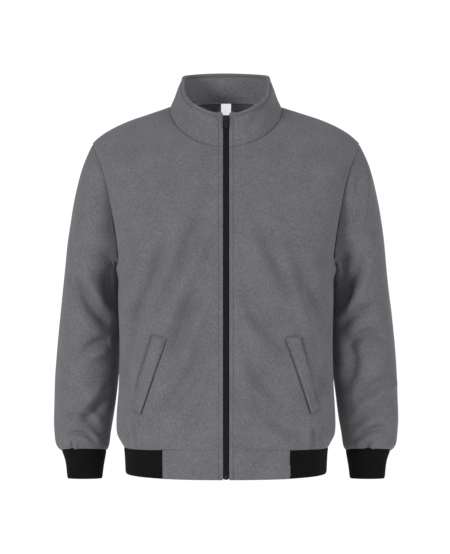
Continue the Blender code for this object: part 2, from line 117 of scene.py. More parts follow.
FLOOR_LEVEL = -1.02
bpy.ops.object.select_all(action="DESELECT")
bpy.ops.mesh.primitive_plane_add(size=1, location=(0, 0, FLOOR_LEVEL))
floor = bpy.context.object
floor.name = "floor"
floor.scale = (3.0, 1.8, 1)
bpy.ops.object.transform_apply(location=True, scale=True)
paper, _, _ = surface("pale_floor", {
    "Base Color": (0.95, 0.95, 0.95, 1), "Roughness": 0.9,
    "Emission Color": (1, 1, 1, 1), "Emission Strength": 0.12})
floor.data.materials.append(paper)

# ------------------------------------------------------------------ fronts and back
# Polar fleece knitted in grey yarn and brushed on both faces, about 2 mm thick.  The two
# fronts and the one back are cut flat and joined at the side and shoulder seams.  Worn, the
# cloth drags from the chest towards the hips in long soft folds.


def only(piece):
    """Selects one object and makes it the active one."""
    bpy.ops.object.select_all(action="DESELECT")
    piece.select_set(True)
    bpy.context.view_layer.objects.active = piece


ALL = ("select_all", {"action": "SELECT"})
NONE = ("select_all", {"action": "DESELECT"})
FLIP = ("flip_normals", {})
MERGE = ("remove_doubles", {"threshold": 2e-5})
QUADS = ("tris_convert_to_quads", {"face_threshold": 3.1, "shape_threshold": 3.1})


def edit(piece, *steps):
    """Runs edit-mode operators on a piece: each step is an operator's name and its settings."""
    only(piece)
    bpy.context.tool_settings.mesh_select_mode = (False, False, True)
    bpy.ops.object.mode_set(mode="EDIT")
    for name, settings in steps:
        getattr(bpy.ops.mesh, name)(**settings)
    bpy.ops.object.mode_set(mode="OBJECT")


def area_of(piece):
    """The area of a piece's faces."""
    return sum(face.area for face in piece.data.polygons)


WALL_SLACK = 0.05  # how far a wall's edge face may be off its thickness, as a share


def cloth_face(node, name, wall):
    """The outer face of a panel, taken off its wall as an open sheet of quads."""
    piece = add_piece(name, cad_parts[node].data.copy())
    edit(piece, ALL, MERGE, NONE)
    mesh = piece.data
    mesh.materials.clear()
    points = np.array([corner.co for corner in mesh.vertices])
    for face in mesh.polygons:
        ends = points[list(face.vertices)]
        sides = np.linalg.norm(ends - np.roll(ends, 1, 0), axis=1)
        face.select = bool(np.abs(sides - wall).min() < WALL_SLACK * wall)
    edit(piece, ("delete", {"type": "ONLY_FACE"}), ALL, ("delete_loose", {"use_faces": False}),
         ALL, ("separate", {"type": "LOOSE"}))
    parts = sorted(bpy.context.selected_objects, key=area_of)
    for spare in parts[:-1]:
        bpy.data.objects.remove(spare, do_unlink=True)
    sheet = parts[-1]
    sheet.name = name
    edit(sheet, ALL, QUADS)
    return sheet


def border_of(mesh):
    """The border's corners, each with its neighbours along the border."""
    beside = {}
    used = {}
    for face in mesh.polygons:
        for key in face.edge_keys:
            used[key] = used.get(key, 0) + 1
    for (a, b), times in used.items():
        if times == 1:
            beside.setdefault(a, []).append(b)
            beside.setdefault(b, []).append(a)
    return beside


def neighbours_of(mesh):
    """Each corner's neighbours along the edges."""
    beside = {}
    for edge in mesh.edges:
        a, b = edge.vertices
        beside.setdefault(a, []).append(b)
        beside.setdefault(b, []).append(a)
    return beside


CUT_CORNER = -0.8  # cosine between a border's two sides, above which it turns a corner


def refine(sheet, levels):
    """Rounds a coarse sheet with Subdivision Surface, keeping the corners of its cut."""
    mesh = sheet.data
    sharp = mesh.attributes.new("crease_vert", "FLOAT", "POINT").data
    for corner, ends in border_of(mesh).items():
        if len(ends) == 2:
            here = mesh.vertices[corner].co
            runs = [(mesh.vertices[end].co - here).normalized() for end in ends]
            if runs[0].dot(runs[1]) > CUT_CORNER:
                sharp[corner].value = 1.0
    only(sheet)
    round_off = sheet.modifiers.new("round", "SUBSURF")
    round_off.levels = round_off.render_levels = levels
    bpy.ops.object.modifier_apply(modifier="round")


def points_of(piece):
    """A piece's corners and their normals."""
    count = len(piece.data.vertices)
    points, normals = np.empty(count * 3, np.float32), np.empty(count * 3, np.float32)
    piece.data.vertices.foreach_get("co", points)
    piece.data.vertices.foreach_get("normal", normals)
    return points.reshape(-1, 3).astype(float), normals.reshape(-1, 3).astype(float)


def move_to(piece, points):
    """Puts a piece's corners at new points."""
    piece.data.vertices.foreach_set("co", points.astype(np.float32).ravel())
    piece.data.update()


def bell(gap, width):
    """1 where there is no gap, falling smoothly to nothing past the width."""
    return np.exp(-((gap / width) ** 2))


def rise(value, start, length):
    """0 up to a start, 1 from a length past it, and straight between."""
    return np.clip((value - start) / length, 0, 1)


# A fold's line runs from its start through its middle to its end, in millimetres across and
# up.  Its ridge is a share of its depth, and the sign says on which side the ridge is.
Fold = namedtuple("Fold", "start middle end deep wide ridge")
VIEWS = {"front": (0, 2, (0, -1, 0)), "back": (0, 2, (0, 1, 0)),
         "left": (1, 2, (1, 0, 0)), "right": (1, 2, (-1, 0, 0))}
LINE_STEPS = 25
LINE_ENDS, FADE_POWER = (0.02, 0.98), 0.6  # where a fold's line counts as ended, and its fade
FACING_FROM, FACING_OVER = 0.1, 0.35  # the cosine from which a surface begins to face a view
RIDGE_OFFSET = 1.7  # in widths of the fold


def fold_lift(points, normals, view, folds):
    """How far folds lift each point: a soft trough along a bent line, with a ridge beside it."""
    across, up, towards = VIEWS[view]
    flat = points[:, [across, up]] / MM
    facing = rise(normals @ np.array(towards, float), FACING_FROM, FACING_OVER)
    lift = np.zeros(len(points))
    for fold in folds:
        share = np.linspace(0, 1, LINE_STEPS)[:, None]
        start, middle, end = (np.array(p, float) for p in fold[:3])
        bend = 2 * middle - (start + end) / 2
        line = start * (1 - share) ** 2 + bend * 2 * share * (1 - share) + end * share**2
        gap = flat[:, None, :] - line[None, :, :]
        near = (gap**2).sum(2).argmin(1)
        run = np.gradient(line, axis=0)
        run /= np.linalg.norm(run, axis=1)[:, None]
        beside = gap[np.arange(len(flat)), near]
        side = run[near, 0] * beside[:, 1] - run[near, 1] * beside[:, 0]
        past = np.abs((beside * run[near]).sum(1))
        fade = np.sin(np.pi * np.clip(share[near, 0], *LINE_ENDS)) ** FADE_POWER
        fade *= bell(past, fold.wide)
        reach = side / fold.wide
        shape = -bell(reach, 1)
        shape += abs(fold.ridge) * bell(reach - math.copysign(RIDGE_OFFSET, fold.ridge), 1)
        lift += fold.deep * MM * fade * shape * facing
    return lift


FRONT_FOLDS = [
    Fold((-96, -236), (-138, -322), (-172, -408), 16.5, 15, 0.6),
    Fold((-30, -200), (-86, -290), (-128, -392), 16.5, 15, 0.6),
    Fold((-158, -380), (-177, -450), (-186, -530), 13.0, 12, 0.5),
    Fold((-38, -334), (-78, -400), (-104, -486), 15.0, 15, 0.6),
    Fold((-42, -462), (-78, -516), (-120, -568), 13.5, 16, 0.5),
    Fold((110, -240), (156, -350), (184, -446), 12.5, 15, -0.6),
    Fold((60, -216), (96, -290), (134, -360), 12.0, 17, -0.5),
    Fold((26, -342), (66, -400), (118, -450), 12.5, 17, -0.5),
    Fold((32, -456), (72, -508), (116, -556), 11.5, 17, -0.5),
    Fold((42, -526), (88, -574), (144, -606), 9.0, 14, -0.5),
    Fold((180, -440), (177, -496), (160, -552), 7.0, 11, 0.5),
    Fold((-170, -576), (-165, -600), (-163, -626), 4.6, 5, 0.7),
    Fold((-182, -590), (-178, -606), (-176, -628), 3.6, 5, 0.6),
    Fold((160, -592), (158, -608), (157, -628), 6.1, 5, -0.7),
    Fold((176, -584), (172, -604), (170, -628), 3.8, 5, -0.6),
]
BACK_FOLDS = [
    Fold((-130, -230), (-116, -350), (-80, -470), 8.3, 14, 0.7),
    Fold((136, -246), (116, -362), (88, -455), 7.6, 13, -0.7),
    Fold((-52, -500), (-96, -552), (-150, -588), 7.2, 12, 0.6),
    Fold((40, -490), (88, -548), (130, -584), 6.8, 12, -0.6),
    Fold((-30, -392), (-24, -448), (-40, -510), 5.4, 13, 0.5),
    Fold((-60, -120), (6, -132), (72, -116), 4.3, 14, 0.5),
    Fold((-158, -590), (-156, -606), (-158, -628), 5.4, 6, 0.7),
    Fold((-66, -600), (-64, -612), (-66, -630), 4.7, 6, 0.6),
    Fold((28, -598), (30, -612), (28, -630), 4.7, 6, -0.6),
    Fold((126, -594), (128, -610), (126, -630), 5.4, 6, -0.7),
]

ZIP_STITCH = 13.3  # millimetres from the jacket's middle
WELT_OUTLINE = [(109, -430), (133, -426), (171, -558), (155, -567)]


def far_from_outline(flat, outline, grow):
    """How far points are from a closed outline grown by some millimetres about its middle."""
    corners = np.array(outline, float)
    middle = corners.mean(0)
    away = corners - middle
    corners = corners + away / np.linalg.norm(away, axis=1)[:, None] * grow
    far = np.full(len(flat), np.inf)
    for start, end in zip(corners, np.roll(corners, -1, 0)):
        run = end - start
        share = np.clip(((flat - start) @ run) / (run @ run), 0, 1)
        far = np.minimum(far, np.linalg.norm(flat - start - share[:, None] * run, axis=1))
    return far


def finer(piece, wanted):
    """Halves the faces of a sheet where a test of their centres holds."""
    for face in piece.data.polygons:
        face.select = bool(wanted(face.center / MM))
    edit(piece, ("subdivide", {"number_cuts": 1}))


def finder(points, corners):
    """A search tree of some of the points."""
    tree = KDTree(len(corners))
    for place, corner in enumerate(corners):
        tree.insert(points[corner], place)
    tree.balance()
    return tree


def far_from(points, corners):
    """How many millimetres each point is from the nearest of some corners."""
    tree = finder(points, corners)
    return np.array([tree.find(p)[2] for p in points]) / MM


def close_gap(piece, points, moved, beside, reach):
    """Stretches a sheet's border by some millimetres, towards the piece beyond the seam."""
    near = neighbours_of(piece.data)
    for corner in beside:
        inner = [other for other in near[corner] if other not in beside]
        if inner:
            way = points[corner] - points[inner].mean(0)
            moved[corner] += way / np.linalg.norm(way) * reach * MM


UNEVEN, UNEVEN_SCALE = 1.1 * MM, 15
MIDDLE_HELD, MIDDLE_FREED = 17, 28  # how far the zip holds the cloth, and then frees it over
SEAM_WIDTH = 2.6
ZIP_TROUGH, ZIP_TROUGH_WIDTH, ZIP_TROUGH_FADE = 1.6 * MM, 1.5, 5
ZIP_BEFORE = -30  # the zip lies in front of this depth
WELT_TROUGH, WELT_TROUGH_WIDTH, WELT_GROWTH = 1.9 * MM, 2.0, 0.6
NOWHERE = 99  # farther than any trough reaches
ARMHOLE_SINK = 14 * MM  # of the front half of the armhole, which is bounded by the next line
ARMHOLE_TOP, ARMHOLE_FOOT, ARMHOLE_FRONT, ARMHOLE_SIDE = -140, -316, 24, 185
TOP_FADE, FOOT_FADE, FRONT_FADE = 80, 34, 34


def drape(piece, lifts, hold_middle=True, seam=1.1, welts=False, stitched=True, close=0.16,
          sink=0):
    """Lifts the cloth by its folds, and draws it in along its seams and its stitching.

    In millimetres, seam is how deep the seams lie, close is how far the border stretches over
    the gap beside it, and sink is how wide the front of the armhole's seam sinks.
    """
    points, normals = points_of(piece)
    across, depth, up = np.abs(points[:, 0]) / MM, points[:, 1] / MM, points[:, 2] / MM
    beside = border_of(piece.data)
    edge = far_from(points, list(beside))
    lift = sum(fold_lift(points, normals, view, folds) for view, folds in lifts)
    lift += UNEVEN * np.array([noise.noise(Vector(p) * UNEVEN_SCALE) for p in points])
    if hold_middle:
        off = rise(across, MIDDLE_HELD, MIDDLE_FREED)
        lift *= np.where(depth < 0, off * off * (3 - 2 * off), 1)
    lift -= seam * MM * bell(edge, SEAM_WIDTH)
    if stitched:
        line = np.where(depth < ZIP_BEFORE, np.abs(across - ZIP_STITCH), NOWHERE)
        lift -= ZIP_TROUGH * bell(line, ZIP_TROUGH_WIDTH) * rise(edge, 0, ZIP_TROUGH_FADE)
    if welts:
        outline = far_from_outline(np.stack([across, up], 1), WELT_OUTLINE, WELT_GROWTH)
        lift -= WELT_TROUGH * bell(np.where(depth < 0, outline, NOWHERE), WELT_TROUGH_WIDTH)
    moved = points + normals * lift[:, None]
    if sink:
        armhole = rise(ARMHOLE_TOP - up, 0, TOP_FADE) * rise(up - ARMHOLE_FOOT, 0, FOOT_FADE)
        armhole *= rise(ARMHOLE_FRONT - depth, 0, FRONT_FADE) * (across > ARMHOLE_SIDE)
        moved[:, 1] += ARMHOLE_SINK * armhole * bell(edge, sink)
    if close:
        close_gap(piece, points, moved, beside, close)
    move_to(piece, moved)


def thicken(piece, wall):
    """Gives an open sheet its thickness, inwards."""
    only(piece)
    solid = piece.modifiers.new("wall", "SOLIDIFY")
    solid.thickness = wall
    solid.offset = -1
    bpy.ops.object.modifier_apply(modifier="wall")
    piece.data.shade_smooth()
    piece.data.set_sharp_from_angle(angle=math.radians(60))


def noise_of(tree, scale, detail, stretch=(1, 1, 1)):
    """The value of a noise texture on Object coordinates, stretched along the axes."""
    place = tree.nodes.new("ShaderNodeTexCoord")
    turn = tree.nodes.new("ShaderNodeMapping")
    turn.inputs["Scale"].default_value = stretch
    texture = tree.nodes.new("ShaderNodeTexNoise")
    texture.inputs["Scale"].default_value = scale
    texture.inputs["Detail"].default_value = detail
    tree.links.new(place.outputs["Object"], turn.inputs["Vector"])
    tree.links.new(turn.outputs["Vector"], texture.inputs["Vector"])
    return texture.outputs["Fac"]


def sum_of(tree, parts):
    """Adds weighted values: parts are (socket, weight)."""
    total = None
    for socket, weight in parts:
        scaled = tree.nodes.new("ShaderNodeMath")
        scaled.operation = "MULTIPLY_ADD"
        scaled.inputs[1].default_value = weight
        scaled.inputs[2].default_value = 0
        tree.links.new(socket, scaled.inputs[0])
        if total:
            tree.links.new(total, scaled.inputs[2])
        total = scaled.outputs[0]
    return total


def shade_between(tree, value, shader, dark, light, low=0, high=1):
    """Colours a surface between two shades as a value goes from low to high."""
    ramp = tree.nodes.new("ShaderNodeValToRGB")
    for stop, place, shade in zip(ramp.color_ramp.elements, (low, high), (dark, light)):
        stop.position = place
        stop.color = (*shade, 1)
    tree.links.new(value, ramp.inputs["Fac"])
    tree.links.new(ramp.outputs["Color"], shader.inputs["Base Color"])
    return ramp.outputs["Color"]


def emboss(tree, height, shader, strength, distance):
    """Embosses a surface by a height that changes over it."""
    bump = tree.nodes.new("ShaderNodeBump")
    bump.inputs["Strength"].default_value = strength
    bump.inputs["Distance"].default_value = distance
    tree.links.new(height, bump.inputs["Height"])
    tree.links.new(bump.outputs["Normal"], shader.inputs["Normal"])


def nap_group():
    """Brushed fleece: short upright tufts, streaks of the brushing and slow clouds of shade."""
    tree = bpy.data.node_groups.new("brushed_nap", "ShaderNodeTree")
    tufts = noise_of(tree, 1100, 2)
    streaks = noise_of(tree, 620, 2, stretch=(1, 1, 0.45))
    clumps = noise_of(tree, 260, 2, stretch=(1, 1, 0.6))
    clouds = noise_of(tree, 26, 3)
    parts = {"Shade": [(tufts, 0.32), (streaks, 0.44), (clumps, 0.10), (clouds, 0.14)],
             "Height": [(tufts, 0.45), (streaks, 0.45), (clumps, 0.1)]}
    for label in parts:
        tree.interface.new_socket(label, in_out="OUTPUT", socket_type="NodeSocketFloat")
    out = tree.nodes.new("NodeGroupOutput")
    for label, weighted in parts.items():
        tree.links.new(sum_of(tree, weighted), out.inputs[label])
    return tree


NAP = nap_group()


def fleece(name, dark, light):
    """Brushed fleece between two shades of grey."""
    material, tree, shader = surface(name, {
        "Roughness": 0.95, "Specular IOR Level": 0.15,
        "Sheen Weight": 0.16, "Sheen Roughness": 0.55})
    nap = tree.nodes.new("ShaderNodeGroup")
    nap.node_tree = NAP
    shade_between(tree, nap.outputs["Shade"], shader, dark, light, 0.38, 0.62)
    emboss(tree, nap.outputs["Height"], shader, 0.42, 1.2 * MM)
    return material


GREY_FLEECE = fleece("grey_fleece", (0.092, 0.090, 0.099), (0.172, 0.169, 0.183))
FLEECE_WALL = 2.0 * MM
DETAIL_REACH = 6  # millimetres to either side of a line of stitches
DETAIL_BEFORE = -20  # the fronts' details lie in front of this depth


def near_details(place):
    """Whether a place on the fronts is beside the zip's stitching or a welt."""
    across, depth, up = abs(place[0]), place[1], place[2]
    if depth > DETAIL_BEFORE:
        return False
    outline = far_from_outline(np.array([[across, up]]), WELT_OUTLINE, 0)[0]
    return min(abs(across - ZIP_STITCH), outline) < DETAIL_REACH


def sew(piece, node):
    """Makes a cloth piece stand for its node: hangs it on the jacket and hides the node."""
    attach(piece, "jacket")
    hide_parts(node)


UNDERARM = [Fold((-48, -300), (-8, -304), (38, -302), -4.6, 14, 0)]
BODY_CUTS = {"front_left": ((0.262, 0.655), 0.156), "front_right": ((0.262, 0.655), 0.156),
             "back": ((0.560, 0.660), 0.336)}
for node, (flat, area) in BODY_CUTS.items():
    panel = cloth_face(node, node + "_cloth", FLEECE_WALL)
    refine(panel, 3)
    if node != "back":
        finer(panel, near_details)
    drape(panel, [("front", FRONT_FOLDS), ("back", BACK_FOLDS), ("left", UNDERARM),
                  ("right", UNDERARM)], welts=True, sink=9)
    thicken(panel, FLEECE_WALL)
    panel.data.materials.append(GREY_FLEECE)
    sew(panel, node)

# ------------------------------------------------------------------ sleeves
# One piece each, sewn into a tube and set into the armhole.  The cloth is drawn in above
# the cuff and breaks into short folds inside the elbow.

SLEEVE_FOLDS = [
    Fold((-220, -290), (-218, -350), (-213, -420), 14.0, 18, 0.1),
    Fold((-284, -312), (-252, -368), (-214, -412), 14.0, 12, 0.8),
    Fold((-268, -458), (-240, -443), (-214, -441), 12.2, 10, -0.7),
    Fold((-318, -512), (-284, -536), (-252, -550), 6.3, 11, 0.7),
    Fold((-270, -592), (-242, -562), (-214, -532), 12.2, 11, 0.7),
    Fold((-306, -592), (-272, -577), (-242, -600), 8.8, 7, 0.8),
    Fold((-300, -618), (-268, -610), (-246, -628), 7.7, 5, 0.8),
    Fold((-290, -622), (-288, -632), (-289, -644), 5.2, 4, 0.7),
    Fold((219, -270), (216, -330), (213, -400), 13.0, 18, 0.1),
    Fold((250, -112), (243, -168), (232, -238), 7.0, 9, 0.6),
    Fold((256, -286), (232, -336), (212, -376), 14.0, 11, 0.7),
    Fold((282, -378), (248, -383), (213, -414), 12.2, 9, -0.7),
    Fold((298, -436), (262, -423), (230, -452), 10.5, 8, 0.8),
    Fold((222, -428), (238, -472), (224, -522), 12.2, 11, -0.5),
    Fold((318, -500), (284, -518), (238, -550), 9.5, 10, 0.8),
    Fold((306, -566), (268, -574), (238, -596), 8.0, 8, 0.7),
    Fold((308, -606), (276, -603), (240, -622), 8.8, 6, 0.8),
    Fold((268, -622), (266, -634), (268, -646), 5.2, 5, 0.6),
]
SLEEVE_BACK_FOLDS = [
    Fold((-226, -160), (-238, -260), (-226, -350), 11.9, 15, 0.4),
    Fold((-306, -398), (-260, -372), (-214, -392), 10.2, 12, 0.7),
    Fold((-312, -474), (-264, -446), (-218, -466), 9.2, 11, 0.7),
    Fold((-306, -560), (-262, -548), (-222, -566), 7.8, 10, -0.6),
    Fold((-304, -610), (-266, -594), (-232, -612), 7.8, 7, 0.8),
    Fold((226, -170), (236, -262), (224, -356), 11.9, 14, 0.4),
    Fold((308, -390), (258, -368), (214, -396), 10.2, 12, -0.7),
    Fold((312, -486), (264, -452), (218, -462), 9.2, 11, -0.7),
    Fold((306, -552), (262, -546), (222, -572), 7.8, 10, 0.6),
    Fold((304, -614), (266, -596), (232, -608), 7.8, 7, -0.8),
]

for side, towards_body in (("left", "right"), ("right", "left")):
    node = "sleeve_" + side
    sleeve = cloth_face(node, node + "_cloth", FLEECE_WALL)
    refine(sleeve, 3)
    drape(sleeve, [("front", SLEEVE_FOLDS), ("back", SLEEVE_BACK_FOLDS),
                   (towards_body, UNDERARM)], hold_middle=False, stitched=False, seam=0.8,
          sink=26)
    thicken(sleeve, FLEECE_WALL)
    sleeve.data.materials.append(GREY_FLEECE)
    sew(sleeve, node)

# ------------------------------------------------------------------ collar
# A stand collar of two layers of the fleece.  The outer layer is turned over the inner one at
# the top edge, puffs out there, and is topstitched about 6 mm below it.


def face_out(sheet):
    """Turns an open sheet's faces away from the jacket's inside."""
    edit(sheet, ALL, ("normals_make_consistent", {"inside": False}))
    centre = Vector(np.mean([corner.co for corner in sheet.data.vertices], axis=0))
    vote = sum((face.center - centre).dot(face.normal) * face.area for face in sheet.data.polygons)
    if vote < 0:
        edit(sheet, ALL, FLIP)


ROW_END = -0.6  # cosine between the border's two sides, above which the top row ends
BACK_RISE = 0.02  # the collar's back stands at least so much above its ends


def top_row(sheet):
    """The corners of the collar's upper border, from the right end to the left."""
    points, _ = points_of(sheet)
    beside = border_of(sheet.data)
    ends = []
    for corner, others in beside.items():
        runs = [points[other] - points[corner] for other in others]
        runs = [run / np.linalg.norm(run) for run in runs]
        if runs[0] @ runs[1] > ROW_END:
            ends.append(corner)
    tops = sorted(ends, key=lambda corner: -points[corner][2])[:2]
    start, goal = sorted(tops, key=lambda corner: points[corner][0])
    for step in beside[start]:
        row = [start, step]
        while row[-1] not in ends:
            row.append(next(k for k in beside[row[-1]] if k != row[-2]))
        middle = points[row[len(row) // 2]]
        if row[-1] == goal and middle[2] > points[start][2] + BACK_RISE:
            best = row
    return best


ROUND_STEPS = 8
ROUND_RISE = 1.15
LIP_STEPS = ((0.5, 2), (0.85, 1.9), (1, 1.6))  # shares of the lip, and depths in radii


def roll_edge(sheet, row, radius, lip):
    """Turns the collar's upper border over the facing in a half round that ends in a lip."""
    points, normals = points_of(sheet)
    near = neighbours_of(sheet.data)
    kept = set(row)
    ups = []
    for corner in row:
        inner = [k for k in near[corner] if k not in kept]
        up = points[corner] - points[inner].mean(0)
        up -= normals[corner] * (up @ normals[corner])
        ups.append(up / np.linalg.norm(up))
    rim, ups, outs = points[row], np.array(ups), normals[row]
    turns = [turn * math.pi / ROUND_STEPS for turn in range(1, ROUND_STEPS + 1)]
    steps = [(ROUND_RISE * math.sin(turn), 1 - math.cos(turn)) for turn in turns]
    steps += [(-share * lip / radius, depth) for share, depth in LIP_STEPS]
    rings = [row]
    corners = [tuple(p) for p in points]
    faces = [tuple(face.vertices) for face in sheet.data.polygons]
    for height, depth in steps:
        rings.append(range(len(corners), len(corners) + len(row)))
        corners.extend(tuple(p) for p in rim + (ups * height - outs * depth) * radius)
    for below, above in zip(rings, rings[1:]):
        for k in range(len(row) - 1):
            faces.append((below[k], below[k + 1], above[k + 1], above[k]))
    old = sheet.data
    sheet.data = bpy.data.meshes.new(sheet.name)
    sheet.data.from_pydata(corners, [], faces)
    bpy.data.meshes.remove(old)
    face_out(sheet)
    return rim, ups, outs


COLLAR_WALL = 1.8 * MM
COLLAR_STITCH = 5.8  # millimetres below the top edge
FINE_BAND = 9 * MM  # below the top edge, where the faces are halved
CORNER_FADE = 4
PUFF, PUFF_BELOW, PUFF_WIDTH = 1.7, 1.4, 2.6
COLLAR_TROUGH, COLLAR_TROUGH_WIDTH = 1.7, 1.4
FOOT_TUCK, FOOT_WIDTH, FOOT_FROM, FOOT_OVER = 1.6, 2.4, 25, 10
ROLL, LIP = 3.2 * MM, 3.6 * MM
COLLAR_FOLDS = [
    Fold((-62, -18), (-40, -44), (-22, -56), 2.9, 9, 0.6),
    Fold((70, 0), (52, -34), (34, -52), 2.9, 9, -0.6),
    Fold((-96, 2), (-84, -20), (-70, -36), 2.6, 8, 0.6),
]
# Painted light: the inner layer is a lighter copy of the same fleece, so the shaded inside of the
# neck looks lit.
LIT_INNER_FLEECE = fleece("inner_fleece_painted_light", (0.104, 0.102, 0.111), (0.196, 0.193, 0.208))
COLLAR_CUTS = {"collar": ((0.560, 0.078), 0.0385), "collar_facing": ((0.545, 0.074), 0.0312)}
for node, (flat, area) in COLLAR_CUTS.items():
    outside = node == "collar"
    layer = cloth_face(node, node + "_cloth", COLLAR_WALL)
    face_out(layer)
    refine(layer, 4)
    row = top_row(layer)
    if outside:
        top = finder(points_of(layer)[0], row)
        finer(layer, lambda place: top.find(place * MM)[2] < FINE_BAND)
        row = top_row(layer)
    points, normals = points_of(layer)
    below = far_from(points, row)
    if outside:
        shape = PUFF * bell(below - PUFF_BELOW, PUFF_WIDTH)
        shape -= COLLAR_TROUGH * bell(below - COLLAR_STITCH, COLLAR_TROUGH_WIDTH)
        beside_zip = rise(np.abs(points[:, 0]) / MM, ZIP_STITCH, CORNER_FADE)
        shape *= np.where(points[:, 1] < 0, beside_zip, 1)
    else:
        edge = far_from(points, list(border_of(layer.data)))
        shape = -FOOT_TUCK * bell(edge, FOOT_WIDTH) * rise(below, FOOT_FROM, FOOT_OVER)
    move_to(layer, points + normals * shape[:, None] * MM)
    drape(layer, [("front", COLLAR_FOLDS)], stitched=outside, seam=0.9 if outside else 0)
    if outside:
        collar_rim = roll_edge(layer, row, ROLL, LIP)
    thicken(layer, COLLAR_WALL)
    layer.data.materials.append(GREY_FLEECE if outside else LIT_INNER_FLEECE)
    sew(layer, node)

# ------------------------------------------------------------------ fronts of the hem band
# Two short lengths of the fleece beside the zip, folded double at the bottom edge and sewn
# between the zip, the front and the rib.

for side in ("left", "right"):
    node = "hem_front_" + side
    band = cloth_face(node, node + "_cloth", FLEECE_WALL)
    refine(band, 4)
    drape(band, [("front", FRONT_FOLDS)], close=0.3)
    thicken(band, FLEECE_WALL)
    band.data.materials.append(GREY_FLEECE)
    sew(band, node)

# ------------------------------------------------------------------ hem and cuffs of black rib
# Rib knitted in black cotton, folded double and sewn to the cloth slightly stretched, so it
# draws the hem and the sleeve ends in.


def rows_of(sheet):
    """The corners of a regular sheet in rows from its upper border down, and if it is a tube."""
    points, _ = points_of(sheet)
    beside = neighbours_of(sheet.data)
    border = border_of(sheet.data)
    height = {corner: points[corner][2] for corner in border}
    ends = [corner for corner in border if len(beside[corner]) == 2]
    if ends:
        first = max(ends, key=lambda corner: (round(height[corner], 3), points[corner][0]))
        step = max(border[first], key=lambda corner: height[corner])
    else:
        first = max(border, key=lambda corner: height[corner])
        step = border[first][0]
    row = [first, step]
    while True:
        onward = [corner for corner in border[row[-1]] if corner != row[-2]]
        if len(beside[row[-1]]) == 2 or onward[0] == first:
            break
        row.append(onward[0])
    rows, seen = [row], set(row)
    while True:
        below = [[corner for corner in beside[place] if corner not in seen] for place in rows[-1]]
        if any(len(found) != 1 for found in below):
            return rows, not ends
        rows.append([found[0] for found in below])
        seen.update(rows[-1])


def mesh_piece(name, corners, faces):
    """A new object of corners and faces."""
    mesh = bpy.data.meshes.new(name)
    mesh.from_pydata([tuple(p) for p in corners], [], faces)
    return add_piece(name, mesh)


def length_along(points):
    """How far along a row each of its points is."""
    return np.concatenate([[0], np.cumsum(np.linalg.norm(np.diff(points, axis=0), axis=1))])


def at_places(places, run, values):
    """Values given along a row, read at other places along it."""
    return np.stack([np.interp(places, run, values[:, axis]) for axis in range(3)], -1)


RIB_WALL, RIB_BODY = 2.4 * MM, 2.2 * MM
WALE = (0.0, 0.85, 1.0, 0.85)  # how proud one wale is across its width, as shares
TOP_TURN, FOOT_TURN = 0.6 * MM, 0.9 * MM  # how far the band's two edges turn in


def rib_band(node, name, pitch, proud):
    """A band of rib over a node's outer face: its wales run down it at an even pitch."""
    sheet = cloth_face(node, name + "_form", RIB_WALL)
    refine(sheet, 3)
    points, normals = points_of(sheet)
    rows, tube = rows_of(sheet)
    rows = rows[::2] if len(rows) % 2 else rows
    if tube:
        rows = [row + row[:1] for row in rows]
    run = length_along(points[rows[len(rows) // 2]])
    wales = int(run[-1] / pitch)
    places = np.linspace(0, run[-1], wales * len(WALE), endpoint=not tube)
    profile = np.tile(WALE, wales) * proud
    grid = []
    for share, row in zip(np.linspace(0, 1, len(rows)), rows):
        spread = at_places(places, run, points[row])
        facing = at_places(places, run, normals[row])
        tuck = proud + FOOT_TURN * (share == 1) + TOP_TURN * (share == 0)
        grid.append(spread + facing * (profile - tuck)[:, None])
    high, wide = len(grid), len(places)
    faces = []
    for i in range(high - 1):
        for j in range(wide if tube else wide - 1):
            k = (j + 1) % wide
            faces.append((i * wide + j, (i + 1) * wide + j, (i + 1) * wide + k, i * wide + k))
    bpy.data.objects.remove(sheet, do_unlink=True)
    band = mesh_piece(name, np.concatenate(grid), faces)
    face_out(band)
    thicken(band, RIB_BODY)
    return band


black_rib, tree, shader = surface("black_rib", {
    "Roughness": 0.9, "Specular IOR Level": 0.12,
    "Sheen Weight": 0.03, "Sheen Roughness": 0.5})
yarn = noise_of(tree, 1400, 2, stretch=(1, 1, 0.5))
blend = sum_of(tree, [(yarn, 0.7), (noise_of(tree, 40, 2), 0.3)])
shade_between(tree, blend, shader, (0.0018, 0.0018, 0.0021), (0.0042, 0.0042, 0.0047),
              0.35, 0.65)
emboss(tree, yarn, shader, 0.35, 0.4 * MM)

RIB_CUTS = {"cuff_left": ("cuff_left_rib", (0.216, 0.057)),
            "cuff_right": ("cuff_right_rib", (0.216, 0.057)),
            "hem_rib": ("hem_band_rib", (0.765, 0.053))}
for node, (name, cut) in RIB_CUTS.items():
    band = rib_band(node, name, pitch=2.9 * MM, proud=0.45 * MM)
    band.data.materials.append(black_rib)
    sew(band, node)

# ------------------------------------------------------------------ pocket welts
# A strip of the fleece along each slanted pocket mouth, folded double.  It lies flat on the
# front, and a line of stitches runs all round it.

WELT_WALL = 1.6 * MM
WELT_PROUD = 0.9 * MM
for side in ("left", "right"):
    node = "pocket_welt_" + side
    welt = cloth_face(node, node + "_cloth", WELT_WALL)
    if sum(face.normal.y * face.area for face in welt.data.polygons) > 0:
        edit(welt, ALL, FLIP)
    refine(welt, 3)
    drape(welt, [("front", FRONT_FOLDS)], seam=1.7, stitched=False, close=0)
    points, normals = points_of(welt)
    move_to(welt, points + normals * WELT_PROUD)
    thicken(welt, WELT_WALL)
    welt.data.materials.append(GREY_FLEECE)
    sew(welt, node)

# ------------------------------------------------------------------ zip tapes
# Woven black polyester tapes sewn behind the fronts' edges.  Closed, the two tapes meet behind
# the teeth.

